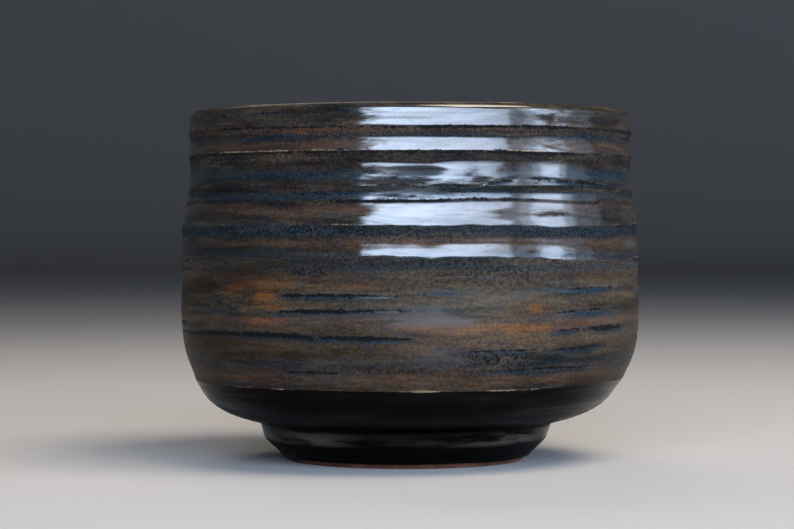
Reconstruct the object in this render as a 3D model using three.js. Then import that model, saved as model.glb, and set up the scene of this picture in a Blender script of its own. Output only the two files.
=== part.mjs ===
// A wheel-thrown stoneware tea cup without a handle. A thrown clay body stands on a turned foot ring, and three
// coats of glaze lie on the clay: a variegated coat on the wall, a black coat on the underside and foot, and a
// liner inside. Millimetres, +Z up along the wheel's axis, with the bare foot ring standing on Z = 0.
import * as THREE from "three";

// Foot ring. Its side leans in a little below the seat, then a turned bevel cuts in to the bare standing ring.
const footHeight = 7.4;
const footRadius = 29.2;
const footBevelHeight = 4.6;
const footBevelRadius = 28.3;
const footBaseRadius = 23.6;
const footWellRadius = 18.2;
const footWellTaper = 1.2;
const bareFootHeight = 1.5;

// Underside, from the seat of the foot out over the haunch to the arris where the trimming tool stopped.
// Each rise is measured from the edge below it.
const haunchRise = 2.2;
const haunchRadius = 36.9;
const arrisRise = 6.8;
const arrisRadius = 43.1;
const haunchSwell = 0.75;

// Wall, as it would be without its throwing rings. Drops are measured down from the crown of the lip.
const flankRise = 5.8;
const flankRadius = 45.3;
const bellyRise = 14;
const bellyRadius = 46.3;
const shoulderDrop = 26.5;
const shoulderRadius = 46.4;
const waistDrop = 14;
const waistRadius = 44.5;
const lipHeight = 70.5;
const rimRadius = 44.7;

// Thickness of the clay at the lip, the belly and the floor, and of the glaze over it.
const lipThickness = 3.8;
const lipRounding = 1.9;
const wallThickness = 4.2;
const floorThickness = 6;
const glazeThickness = 0.5;

// Inside, the floor stays level to about wellRadius before it turns up, and the wall stays upright to wellRise.
const wellRadius = 28;
const wellRise = 5;

// Throwing rings, from the lip down. A ring starts at lean above its crest, swells out by proud as it falls to
// the crest, and is tucked back to the wall within tuck below it.
const throwingRings = [
  { crestDrop: 3.9, lean: 1.9, tuck: 1.1, proud: 0.32 },
  { crestDrop: 8.9, lean: 2.4, tuck: 0.9, proud: 0.46 },
  { crestDrop: 15.3, lean: 4.4, tuck: 0.7, proud: 0.28 },
  { crestDrop: 18.3, lean: 1.9, tuck: 0.6, proud: 0.26 },
  { crestDrop: 22.4, lean: 3.3, tuck: 1.3, proud: 0.42 },
  { crestDrop: 29.1, lean: 4, tuck: 1.6, proud: 0.44 },
  { crestDrop: 35.6, lean: 2.6, tuck: 1, proud: 0.26 },
];
const leanFullness = 0.62; // share of proud that a ring has half way down its lean

// Facets
const turnSteps = 40;
const haunchSteps = 4;
const bellySteps = 5;
const crownSteps = 6;
const insideSteps = 5;
const wellSteps = 7;

const haunchHeight = footHeight + haunchRise;
const arrisHeight = haunchHeight + arrisRise;
const bellyHeight = arrisHeight + bellyRise;
const crownBase = lipHeight - lipRounding;
const floorTop = footHeight + floorThickness;

const at = (radius, height) => new THREE.Vector2(radius, height);

// The side of the foot from its standing ring up to the seat, with a point where the glaze stops.
function footSide() {
  const bevelShare = bareFootHeight / footBevelHeight;
  return [
    at(footBaseRadius, 0),
    at(THREE.MathUtils.lerp(footBaseRadius, footBevelRadius, bevelShare), bareFootHeight),
    at(footBevelRadius, footBevelHeight),
    at(footRadius, footHeight),
  ];
}

// The turned underside: a shallow cone out to the haunch, then a swelling curve up to the arris.
function underside() {
  const haunch = at(haunchRadius, haunchHeight);
  const arris = at(arrisRadius, arrisHeight);
  const along = arris.clone().sub(haunch).normalize();
  const outward = at(along.y, -along.x);
  const control = haunch.clone().lerp(arris, 0.5).addScaledVector(outward, 2 * haunchSwell);
  return new THREE.QuadraticBezierCurve(haunch, control, arris).getPoints(haunchSteps);
}

// The plain wall from the arris to the rim, as points close enough together to read a radius off them.
const plainWall = new THREE.SplineCurve([
  at(arrisRadius, arrisHeight),
  at(flankRadius, arrisHeight + flankRise),
  at(bellyRadius, bellyHeight),
  at(shoulderRadius, lipHeight - shoulderDrop),
  at(waistRadius, lipHeight - waistDrop),
  at(rimRadius, crownBase),
]).getPoints(120);

function plainRadius(height) {
  const above = plainWall.findIndex((point) => point.y >= height);
  if (above === 0) return plainWall[0].x;
  if (above < 0) return plainWall.at(-1).x;
  const [low, high] = [plainWall[above - 1], plainWall[above]];
  return THREE.MathUtils.mapLinear(height, low.y, high.y, low.x, high.x);
}

// The outside of the wall above the arris, with the throwing rings standing out of it, up to the crown's base.
function ringedWall() {
  const lowestRing = throwingRings.at(-1);
  const ringFoot = lipHeight - lowestRing.crestDrop - lowestRing.tuck;
  const points = [];
  for (let step = 1; step < bellySteps; step++) {
    const height = THREE.MathUtils.lerp(arrisHeight, ringFoot, step / bellySteps);
    points.push(at(plainRadius(height), height));
  }
  for (const { crestDrop, lean, tuck, proud } of [...throwingRings].reverse()) {
    const crest = lipHeight - crestDrop;
    const stations = [
      [crest - tuck, 0],
      [crest, proud],
      [crest + lean / 2, proud * leanFullness],
      [crest + lean, 0],
    ];
    for (const [height, relief] of stations) points.push(at(plainRadius(height) + relief, height));
  }
  return points.filter((point) => point.y < crownBase);
}

// The rounded lip, from the outside over its crown to the inside.
function crown() {
  const middle = rimRadius - lipThickness / 2;
  const arc = new THREE.EllipseCurve(middle, crownBase, lipThickness / 2, lipRounding, 0, Math.PI);
  return arc.getPoints(crownSteps);
}

// The inside from below the lip to the middle of the floor. The wall follows the outside at the clay's thickness.
function inside() {
  const points = [];
  for (let step = 1; step < insideSteps; step++) {
    const share = step / insideSteps;
    const height = THREE.MathUtils.lerp(crownBase, bellyHeight, share);
    points.push(at(plainRadius(height) - THREE.MathUtils.lerp(lipThickness, wallThickness, share), height));
  }
  const well = new THREE.CubicBezierCurve(
    at(bellyRadius - wallThickness, bellyHeight),
    at(bellyRadius - wallThickness, floorTop + wellRise),
    at(wellRadius, floorTop),
    at(0, floorTop),
  );
  return [...points, ...well.getPoints(wellSteps)];
}

// A profile moved out by the thickness of a coat, mitred at its corners. An end on the axis stays on it.
function coated(profile, thickness) {
  const normals = profile.slice(1).map((end, i) => {
    const along = end.clone().sub(profile[i]).normalize();
    return at(along.y, -along.x);
  });
  return profile.map((point, i) => {
    const miter = (normals[i - 1] ?? normals[i]).clone().add(normals[i] ?? normals[i - 1]);
    const moved = point.clone().addScaledVector(miter, (2 * thickness) / miter.lengthSq());
    return point.x === 0 ? at(0, moved.y) : moved;
  });
}

// The clay's whole surface, from the standing ring up the outside and down the inside, and the glaze over it.
const side = footSide();
const under = underside();
const wall = ringedWall();
const lip = crown();
const clay = [...side, ...under, ...wall, ...lip, ...inside()];
const glazed = coated(clay, glazeThickness);
const glazeLine = 1;
const seat = side.length - 1;
const arris = side.length + under.length - 1;
const crownTop = side.length + under.length + wall.length + crownSteps / 2;
const floorMiddle = clay.length - 1;

// A coat of glaze over one stretch of the clay, as a closed profile that starts and ends in one place.
function coat(first, last) {
  const back = clay.slice(first, last + 1).reverse();
  const face = glazed.slice(first, last + 1);
  return last === floorMiddle ? [...back, ...face] : [...face, ...back, face[0]];
}

const bodyProfile = [at(0, footHeight), ...clay.slice(seat)];
const footProfile = [
  ...side,
  at(footWellRadius - footWellTaper, footHeight),
  at(footWellRadius, 0),
  side[0],
];

const bareClay = { color: 0x6b3d2a, roughness: 0.85, metalness: 0 };
const variegatedGlaze = { color: 0x4f4038, roughness: 0.25, metalness: 0 };
const blackGlaze = { color: 0x1c1815, roughness: 0.22, metalness: 0 };
const linerGlaze = { color: 0x3a302a, roughness: 0.25, metalness: 0 };

// A named piece turned from its profile about the wheel's axis.
function turned(name, profile, finish) {
  const geometry = new THREE.LatheGeometry(profile, turnSteps);
  const piece = new THREE.Mesh(geometry, new THREE.MeshStandardMaterial(finish));
  piece.name = name;
  return piece;
}

// The lathe turns about Y, so the whole cup is stood up on Z.
const cup = new THREE.Group();
const wheel = new THREE.Group();
wheel.rotation.x = Math.PI / 2;
wheel.add(
  turned("thrown_body", bodyProfile, bareClay),
  turned("foot_ring", footProfile, bareClay),
  turned("wall_glaze", coat(arris, crownTop), variegatedGlaze),
  turned("foot_glaze", coat(glazeLine, arris), blackGlaze),
  turned("liner_glaze", coat(crownTop, floorMiddle), linerGlaze),
);
cup.add(wheel);

export default cup;
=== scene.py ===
import math

import bpy
import numpy as np
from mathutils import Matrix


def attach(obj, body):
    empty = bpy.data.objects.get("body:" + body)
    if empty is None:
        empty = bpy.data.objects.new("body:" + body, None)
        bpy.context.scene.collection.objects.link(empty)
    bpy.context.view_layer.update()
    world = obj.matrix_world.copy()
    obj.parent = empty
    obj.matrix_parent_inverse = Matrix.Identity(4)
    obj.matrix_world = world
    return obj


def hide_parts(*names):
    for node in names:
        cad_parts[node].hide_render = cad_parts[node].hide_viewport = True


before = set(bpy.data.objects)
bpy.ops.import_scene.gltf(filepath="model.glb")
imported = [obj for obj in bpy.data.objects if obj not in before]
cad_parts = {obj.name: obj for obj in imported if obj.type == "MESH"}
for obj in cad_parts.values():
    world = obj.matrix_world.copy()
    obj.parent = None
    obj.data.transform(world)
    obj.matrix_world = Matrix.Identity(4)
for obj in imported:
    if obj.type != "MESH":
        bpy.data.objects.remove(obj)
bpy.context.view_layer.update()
print("frame loaded:", ", ".join(sorted(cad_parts)))

mm = 0.001  # every length below is in millimetres, and a mesh is put in metres
cup = {
    "columns": 320,           # facets round the cup, the same on each piece so that their edges meet
    "backStep": 12,           # the hidden back of an outer coat has one row for so many on its face
    "sharpAngle": 50,         # edges sharper than this many degrees stay sharp in shading
    "cornerPoints": 9,        # points on each rounded corner of a turned path
    "glaze": 0.48,            # thickness of the coats
    "arris": (43.6, 16.4),    # radius and height of the edge where the trimming tool stopped
    "arrisLift": 0.5,         # how far that edge rises on the right
    "liftFrom": (25, 35),     # bearing at which the rise starts, and the degrees over which it grows
    "liftTo": (200, 90),      # bearing at which it ends, and the degrees over which it dies away
    "liftReach": 4,           # how far above and below the arris the rise is felt
    "liftRadii": (34, 40),    # it grows between these radii, so that the floor inside has none
    "lipMiddle": (42.8, 69.1),  # radius and height of the middle of the crown's base
    "lipRound": (2.15, 1.9),  # half width and rise of the crown
    "lipSquare": 2.5,         # 2 would be an ellipse, and more is squarer
    "lipDip": 0.2,            # how far the crown of the lip dips as it goes round
    "dipLine": (303, 4),      # seed and number of waves of that dip
    "dipHeights": (60, 70),   # it grows between these heights
    "seat": 7.4,              # height at which the foot meets the floor of the body
    "footShift": -0.9,        # the foot was trimmed a little to the left of the wheel's axis
    "shiftHeights": (6, 20),  # the shift dies away between these heights
}
arrisHeight = cup["arris"][1]
lipMiddle, lipBase = cup["lipMiddle"]
lipHalf, lipRise = cup["lipRound"]
turn = np.linspace(0, 2 * np.pi, cup["columns"], endpoint=False)  # 0 faces the camera, a quarter turn is +X
bearing = np.degrees(turn)


def smoothStep(t):
    # 0 below 0, 1 above 1, and three t squared less two t cubed between
    t = np.clip(t, 0, 1)
    return t * t * (3 - 2 * t)


def eased(value, start, end):
    # a smooth step from 0 at the start to 1 at the end, where the end may be the lower of the two
    return smoothStep((value - start) / (end - start))


def hump(distance, width):
    # a bell curve: one at no distance, small beyond its width
    return np.exp(-((distance / width) ** 2))


def apart(first, second):
    # the angle from the second direction to the first, the short way round, in degrees
    return (first - second + 180) % 360 - 180


away = np.abs(apart(bearing, 0))  # degrees from the front, on either side


def stretch(first, last, fade=10):
    # one from the first bearing to the last, fading out inside both ends unless it goes all round
    inside = (last - first) / 2 - np.abs(apart(bearing, (first + last) / 2))
    return smoothStep(inside / fade) if last - first < 360 else np.ones(bearing.shape)


def lengthAlong(path):
    # the length from the start of a path to each of its points
    return np.append(0, np.cumsum(np.linalg.norm(np.diff(path, axis=0), axis=1)))


def readEvenly(path, place, count):
    # a path read again at even steps of the places given for its points
    even = np.linspace(0, place[-1], count)
    return np.stack([np.interp(even, place, path[:, 0]), np.interp(even, place, path[:, 1])], 1)


def smoothThrough(knots, count):
    # cubic pieces through the knots, with each knot's slope taken from its neighbours, at even steps of chord
    # length
    knots = np.array(knots, float)
    chord = lengthAlong(knots)
    slope = np.gradient(knots, chord, axis=0)
    place = np.linspace(0, chord[-1], count)
    k = np.clip(np.searchsorted(chord, place, "right") - 1, 0, len(chord) - 2)
    span = (chord[k + 1] - chord[k])[:, None]
    t = (place - chord[k])[:, None] / span
    start = (2 * t**3 - 3 * t**2 + 1) * knots[k] + (t**3 - 2 * t**2 + t) * span * slope[k]
    end = (3 * t**2 - 2 * t**3) * knots[k + 1] + (t**3 - t**2) * span * slope[k + 1]
    return start + end


def turnedPath(corners, count):
    # straight runs between corners given as radius, height and rounding: each corner becomes a quadratic
    # curve that starts and ends its rounding away from it, and the whole is read at even steps of length
    points = np.array([corner[:2] for corner in corners], float)
    rounding = np.array([corner[2] for corner in corners], float)[:, None]
    back = np.roll(points, 1, axis=0) - points
    ahead = np.roll(points, -1, axis=0) - points
    enter = points + rounding * back / np.linalg.norm(back, axis=1)[:, None]
    leave = points + rounding * ahead / np.linalg.norm(ahead, axis=1)[:, None]
    t = np.linspace(0, 1, cup["cornerPoints"])[None, :, None]
    bend = (1 - t) ** 2 * enter[:, None] + 2 * t * (1 - t) * points[:, None] + t**2 * leave[:, None]
    line = bend.reshape(-1, 2)
    return readEvenly(line, lengthAlong(line), count)


def crowdedPath(path, middles, reach, more, count):
    # the path read again at so many rows, which lie closer about the given heights: a row's share of the
    # length is one over one plus bell curves there
    weight = 1 + more * np.max([hump(path[:, 1] - middle, reach) for middle in middles], axis=0)
    return readEvenly(path, np.cumsum(weight) - weight[0], count)


def wander(seed, waves):
    # a closed wavering line round the cup, from -1 to 1: whole-number waves with seeded sizes and phases
    chance = np.random.default_rng(seed)
    count = np.arange(1, waves + 1)[:, None]
    size = chance.normal(size=(waves, 1)) / np.sqrt(count)
    line = (size * np.cos(count * turn + chance.uniform(0, 2 * np.pi, (waves, 1)))).sum(0)
    return line / np.abs(line).max()


def wanders(lines, number):
    # named wavering lines, each with its own seed, counted on by the number, and its own number of waves
    return {name: wander(seed + number, waves) for name, (seed, waves) in lines.items()}


def patchy(line, middle, swing):
    # a share from 0 to 1 that follows a wavering line, swinging about its middle
    return np.clip(middle + swing * line, 0, 1)


def seeded(seed, count, least, most):
    # so many marks, each with its values drawn in turn between the least and the most
    chance = np.random.default_rng(seed)
    return [[chance.uniform(low, high) for low, high in zip(least, most)] for _ in range(count)]


def unevenness(height, layers):
    # soft unevenness over height and angle: in each layer, seeded waves run up to so many times round the cup
    # and repeat at about a pitch in height, and together they come to about the layer's depth
    total = np.zeros(np.broadcast(height, turn).shape)
    for depth, seed, waves, around, pitch in layers:
        chance = np.random.default_rng(seed)
        for _ in range(waves):
            upward = 2 * np.pi / (pitch * chance.uniform(0.6, 1.8))  # each wave has a pitch of its own
            sideways = chance.integers(-around, around + 1)
            phase = chance.uniform(0, 7)
            total += depth / math.sqrt(waves * 2) * np.cos(sideways * turn + upward * height + phase)
    return total


def lipDrop(height):
    # how far the lip dips at each height and angle
    return cup["lipDip"] * (0.5 + 0.5 * wander(*cup["dipLine"])) * eased(height, *cup["dipHeights"])


def settled(radius, height):
    # points from the radius and height at each angle, with the foot moved off centre and the arris lifted
    # on the right
    across = radius * np.sin(turn) + cup["footShift"] * (1 - eased(height, *cup["shiftHeights"]))
    deep = -radius * np.cos(turn)
    first, growth = cup["liftFrom"]
    last, decay = cup["liftTo"]
    rightSide = smoothStep(apart(bearing, first) / growth) * smoothStep(apart(last, bearing) / decay)
    nearby = hump(height - arrisHeight, cup["liftReach"]) * eased(radius, *cup["liftRadii"])
    return np.stack([across, deep, height + cup["arrisLift"] * rightSide * nearby], -1) * mm


def crownArc(start, end, count):
    # part of the lip's crown, a squared ellipse: cosine and sine of the angle, each to the power two over
    # squareness
    around = np.linspace(start, end, count)
    power = 2 / cup["lipSquare"]
    across = np.sign(np.cos(around)) * np.abs(np.cos(around)) ** power
    return np.stack([lipMiddle + lipHalf * across, lipBase + lipRise * np.sin(around) ** power], 1)


def outwardOf(path):
    # the outward normal along a path of radius and height: its direction turned a quarter to the right
    along = np.gradient(path, axis=0)
    along /= np.linalg.norm(along, axis=1)[:, None]
    return along[:, 1:], -along[:, :1]


def sparseRows(count, step):
    # every so many rows from the first, and the last, in falling order
    return np.unique(np.append(np.arange(0, count, step), count - 1))[::-1]


def coatOf(path, radius, height, masks, thickness, step=cup["backStep"], poles=False):
    # the coat's face followed by its back, which lies the thickness inside along the path's normal; a coat
    # that ends on the axis has its back first, so that its rows go from pole to pole
    outward, upward = outwardOf(path)
    innerRadius = np.maximum(radius - thickness * outward, 0)
    innerHeight = height - thickness * upward
    if poles:
        radius[-1] = innerRadius[-1] = 0
    back = sparseRows(len(path), step)
    face, behind = settled(radius, height), settled(innerRadius, innerHeight)[back]
    points = np.concatenate([behind, face] if poles else [face, behind])
    masks = {
        key: np.concatenate([values[back], values] if poles else [values, values[back]])
        for key, values in masks.items()
    }
    return points, masks, innerRadius, innerHeight


def putMesh(name, points, masks, poles=False):
    # a closed surface on a grid of rows by angles, where rows wrap round to the first, or shrink to a pole at
    # each end; a map for baking unrolls the grid by length, and the masks become attributes of the points
    rows, columns = points.shape[:2]
    index = np.arange(rows * columns).reshape(rows, columns)
    keep = np.ones((rows, columns), bool)
    if poles:  # the first and the last row keep one point each
        keep[[0, -1], 1:] = False
        index[0], index[-1] = index[0, 0], index[-1, 0]
    index = np.cumsum(keep).reshape(rows, columns)[index // columns, index % columns] - 1
    closing = points if poles else np.concatenate([points, points[:1]])
    length = np.append(0, np.cumsum(np.linalg.norm(np.diff(closing, axis=0), axis=2).mean(1)))
    low = index[:-1] if poles else index
    high = index[1:] if poles else np.roll(index, -1, 0)
    quads = np.stack([low, np.roll(low, -1, 1), np.roll(high, -1, 1), high], -1).reshape(-1, 4)
    u, v = np.meshgrid(np.arange(columns) / columns, length / length[-1])
    step = 1 / columns
    corners = [[u[:-1], v[:-1]], [u[:-1] + step, v[:-1]], [u[:-1] + step, v[1:]], [u[:-1], v[1:]]]
    unrolled = np.moveaxis(np.array(corners), (0, 1), (-2, -1)).reshape(-1, 4, 2)
    bands = [(quads, unrolled)]
    if poles:  # the first and the last band are triangles
        bands = [
            (quads[:columns][:, [0, 2, 3]], unrolled[:columns][:, [0, 2, 3]]),
            (quads[columns:-columns], unrolled[columns:-columns]),
            (quads[-columns:][:, [0, 1, 2]], unrolled[-columns:][:, [0, 1, 2]]),
        ]
    mesh = bpy.data.meshes.new(name)
    mesh.from_pydata(points[keep].tolist(), [], sum((faces.tolist() for faces, _ in bands), []))
    bakeMap = mesh.uv_layers.new(name="OFBake")
    bakeMap.data.foreach_set("uv", np.concatenate([flat.reshape(-1) for _, flat in bands]))
    for mask, values in masks.items():
        layer = mesh.attributes.new(mask, "FLOAT", "POINT")
        layer.data.foreach_set("value", np.broadcast_to(values, keep.shape)[keep].astype(np.float32))
    mesh.shade_smooth()
    mesh.set_sharp_from_angle(angle=math.radians(cup["sharpAngle"]))
    mesh.update()
    return mesh


def putPiece(node, mesh, material):
    # an object at the origin that stands for one node of the frame
    piece = bpy.data.objects.new(mesh.name, mesh)
    bpy.context.scene.collection.objects.link(piece)
    mesh.materials.append(material)
    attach(piece, "root")
    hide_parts(node)
    print(f"{mesh.name}: {len(mesh.polygons)} faces for {node}")


# Shader nodes

def setInput(tree, socket, value):
    # a socket given as a value is linked, and anything else is put in the socket
    if isinstance(value, bpy.types.NodeSocket):
        tree.links.new(value, socket)
    else:
        socket.default_value = value


def newNode(tree, kind, inputs=None, **settings):
    # one node, with its settings and the values of its inputs
    node = tree.nodes.new(kind)
    for key, value in settings.items():
        setattr(node, key, value)
    for key, value in (inputs or {}).items():
        setInput(tree, node.inputs[key], value)
    return node


def newGroup(name, inputs, outputs):
    # an empty node group with named sockets: inputs map a name to its type and starting value
    tree = bpy.data.node_groups.new(name, "ShaderNodeTree")
    for key, (kind, value) in inputs.items():
        tree.interface.new_socket(key, in_out="INPUT", socket_type=kind).default_value = value
    for key, kind in outputs.items():
        tree.interface.new_socket(key, in_out="OUTPUT", socket_type=kind)
    return tree, tree.nodes.new("NodeGroupInput").outputs, tree.nodes.new("NodeGroupOutput").inputs


def useGroup(tree, group, **values):
    # a node group placed in a material, with the values of its inputs
    return newNode(tree, "ShaderNodeGroup", values, node_tree=group).outputs


def objectPlace(tree):
    # the point's own coordinates on the piece, in metres
    return newNode(tree, "ShaderNodeTexCoord").outputs["Object"]


def mapped(tree, vector, scale):
    # coordinates times a fixed scale along each axis
    return newNode(tree, "ShaderNodeMapping", {"Vector": vector, "Scale": scale}).outputs["Vector"]


def flattened(tree, vector, across, upward):
    # coordinates times one scale across and another, which may be a socket, upward
    scale = newNode(tree, "ShaderNodeCombineXYZ", {"X": across, "Y": across, "Z": upward}).outputs[0]
    return newNode(tree, "ShaderNodeVectorMath", {0: vector, 1: scale}, operation="MULTIPLY").outputs[0]


def noise(tree, vector, scale, detail, rough, distortion=0.0):
    # fractal noise of about 0 to 1 at a scale of so many to the metre
    inputs = {"Vector": vector, "Scale": scale, "Detail": detail, "Roughness": rough}
    return newNode(tree, "ShaderNodeTexNoise", {**inputs, "Distortion": distortion}).outputs["Fac"]


def grain(tree, place, flat, scale, detail, rough):
    # noise whose grains are so many times wider than they are tall
    return noise(tree, mapped(tree, place, (1.0, 1.0, flat)), scale, detail, rough)


def worked(tree, operation, first, second):
    # two values put together by one operation of the Math node
    return newNode(tree, "ShaderNodeMath", {0: first, 1: second}, operation=operation).outputs[0]


def plus(tree, first, second):
    # the sum of two values
    return worked(tree, "ADD", first, second)


def times(tree, first, second):
    # the product of two values
    return worked(tree, "MULTIPLY", first, second)


def weighted(tree, values, shares, start=0.0):
    # the start plus each named value times its share
    total = start
    for name, share in shares.items():
        total = plus(tree, times(tree, values[name], share), total)
    return total


def spread(tree, value, low, high):
    # a value stretched so that low becomes 0 and high becomes 1, smooth at both ends
    inputs = {"Value": value, "From Min": low, "From Max": high}
    node = newNode(tree, "ShaderNodeMapRange", inputs, interpolation_type="SMOOTHSTEP")
    return node.outputs["Result"]


def roughFrom(tree, value, low, high):
    # roughness that goes straight from low to high with the value
    inputs = {"Value": value, "To Min": low, "To Max": high}
    return newNode(tree, "ShaderNodeMapRange", inputs).outputs["Result"]


def blendColor(tree, share, first, second):
    # the first color where the share is 0, the second where it is 1, and a straight mix between
    node = newNode(tree, "ShaderNodeMix", data_type="RGBA")
    for number, value in ((0, share), (6, first), (7, second)):  # the node's other sockets are for numbers
        setInput(tree, node.inputs[number], value)
    return node.outputs[2]


def ramp(tree, value, stops):
    # a color read off stops of position and color, straight between them
    node = newNode(tree, "ShaderNodeValToRGB", {"Fac": value})
    elements = node.color_ramp.elements
    while len(elements) < len(stops):
        elements.new(0.5)
    for element, (position, color) in zip(elements, stops):
        element.position = position
        element.color = color
    return node.outputs["Color"]


def rgb(red, green, blue):
    # a solid color from its linear parts
    return (red, green, blue, 1.0)


def attribute(tree, name):
    # one of the masks that were stored on the mesh
    return newNode(tree, "ShaderNodeAttribute", attribute_name=name).outputs["Fac"]


def masked(tree, name, share):
    # one of those masks times a value
    return times(tree, attribute(tree, name), share)


def bumped(tree, height, strength, distance):
    # a normal tilted by the slope of a height, whose full range stands for the distance in metres
    inputs = {"Height": height, "Strength": strength, "Distance": distance}
    return newNode(tree, "ShaderNodeBump", inputs).outputs["Normal"]


def turnedSkin(tree, sockets, finish, **more):
    # the normal of a finish, bumped by its turning lines, orange peel and grit
    lines = useGroup(tree, wheelLines, **finish["lines"], **more)
    tree.links.new(bumped(tree, lines["Height"], *finish["bump"]), sockets["Normal"])


def newMaterial(name, settings):
    # a material with one principled shader, whose plain sockets take their values from the settings
    material = bpy.data.materials.new(name)
    material.use_nodes = True
    tree = material.node_tree
    shader = tree.nodes["Principled BSDF"]
    for key, value in settings.items():
        shader.inputs[key].default_value = value
    return material, tree, shader.inputs


# scale, detail, roughness and distortion of each noise, and the two values that become 0 and 1
mottleNoise = {
    "Patch": (36.0, 3.0, 0.55, 0.4, 0.32, 0.68),
    "Streak": (100.0, 4.0, 0.62, 0.3, 0.34, 0.66),
    "Speckle": (1600.0, 2.0, 0.6, 0.0, 0.34, 0.66),
}
speckleFlat = 1.2  # speckles are this many times wider than tall, whatever the stretch


def mottleGroup():
    # broken color of a run glaze, each part from 0 to 1: broad patches and streaks, both drawn out round the
    # cup, and fine speckle
    sockets = {"Size": ("NodeSocketFloat", 1.0), "Stretch": ("NodeSocketFloat", 5.0)}
    tree, given, result = newGroup("runMottle", sockets, {name: "NodeSocketFloat" for name in mottleNoise})
    place = objectPlace(tree)
    drawn = flattened(tree, place, 1.0, given["Stretch"])
    fine = mapped(tree, place, (1.0, 1.0, speckleFlat))
    for name, (scale, detail, rough, distortion, low, high) in mottleNoise.items():
        source = fine if name == "Speckle" else drawn
        sized = newNode(tree, "ShaderNodeVectorMath", {0: source, "Scale": given["Size"]}, operation="SCALE")
        cloud = noise(tree, sized.outputs[0], scale, detail, rough, distortion)
        tree.links.new(spread(tree, cloud, low, high), result[name])
    return tree


skinNoise = {
    "across": 8.0,                   # a turning line changes this many times in a metre as it goes round
    "Lines": (1.0, 2.0, 0.5),        # scale, detail and roughness of the noise
    "Peel": (2.0, 330.0, 2.0, 0.5),  # how flat the grains are, then the same
    "Grit": (1.6, 800.0, 2.0, 0.5),
}


def wheelLinesGroup():
    # height of a turned and glazed skin: fine level lines that fingers and tools leave, the glaze's orange
    # peel, and grit where the glaze breaks, each times its input
    sockets = {name: ("NodeSocketFloat", 1.0) for name in ("Pitch", "Lines", "Peel", "Grit")}
    tree, given, result = newGroup("wheelLines", sockets, {"Height": "NodeSocketFloat"})
    place = objectPlace(tree)
    level = flattened(tree, place, skinNoise["across"], given["Pitch"])
    heights = {
        "Lines": noise(tree, level, *skinNoise["Lines"]),
        "Peel": grain(tree, place, *skinNoise["Peel"]),
        "Grit": grain(tree, place, *skinNoise["Grit"]),
    }
    tree.links.new(weighted(tree, heights, {name: given[name] for name in heights}), result["Height"])
    return tree


brokenLine = {
    "coarse": (1.4, 480.0, 2.0, 0.5),  # grains that move the outlines: how flat, scale, detail and roughness
    "fine": (1.0, 1500.0, 2.0, 0.6),
    "dash": (0.3, 300.0, 3.0, 0.65),   # grains that break the pale edge up
    "black": (0.64, 0.8),     # ink between which the black grows from nothing to full
    "paleEdge": (0.87, 0.98),     # glint between which the pale edge does
    "dashes": (0.36, 0.6),    # noise between which a dash of the pale edge does
    "blackRagged": 0.7,       # how much the noise moves the black's outline
    "paleRagged": 0.35,       # and the pale edge's, as a share of that
    "matt": 0.92,             # share of the coat's gloss that the black takes away
}


def brokenEdgeGroup():
    # a glaze that runs off sharp edges: thin and pale in dashes along an edge, which is partly a painted
    # highlight, black where it gathers in a fold; glint and ink are one along a line and fall off evenly
    # beside it, and noise makes the outlines ragged; whole is the coat that is left outside the black
    sockets = {
        "Color": ("NodeSocketColor", rgb(0.1, 0.1, 0.1)),
        "Glint": ("NodeSocketFloat", 0.0),
        "Ink": ("NodeSocketFloat", 0.0),
        # color of the pale break, which is partly a painted highlight
        "BreakAndHighlight": ("NodeSocketColor", rgb(0.26, 0.195, 0.125)),
        "Gathered": ("NodeSocketColor", rgb(0.007, 0.0077, 0.009)),
    }
    outputs = {"Color": "NodeSocketColor", "Whole": "NodeSocketFloat"}
    tree, given, result = newGroup("brokenEdge", sockets, outputs)
    place = objectPlace(tree)
    coarse = grain(tree, place, *brokenLine["coarse"])
    fine = grain(tree, place, *brokenLine["fine"])
    about = plus(tree, plus(tree, coarse, fine), -1.0)
    ragged = times(tree, about, brokenLine["blackRagged"])
    black = spread(tree, plus(tree, given["Ink"], ragged), *brokenLine["black"])
    color = blendColor(tree, black, given["Color"], given["Gathered"])
    dashes = grain(tree, place, *brokenLine["dash"])
    glint = plus(tree, given["Glint"], times(tree, ragged, brokenLine["paleRagged"]))
    paleEdge = spread(tree, glint, *brokenLine["paleEdge"])
    pale = times(tree, paleEdge, spread(tree, dashes, *brokenLine["dashes"]))
    tree.links.new(blendColor(tree, pale, color, given["BreakAndHighlight"]), result["Color"])
    tree.links.new(plus(tree, times(tree, black, -brokenLine["matt"]), 1.0), result["Whole"])
    return tree


runMottle = mottleGroup()
wheelLines = wheelLinesGroup()
brokenEdge = brokenEdgeGroup()
print("node groups ready")

# Wall glaze: the variegated coat from the arris over the throwing rings to the crown of the lip

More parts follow.
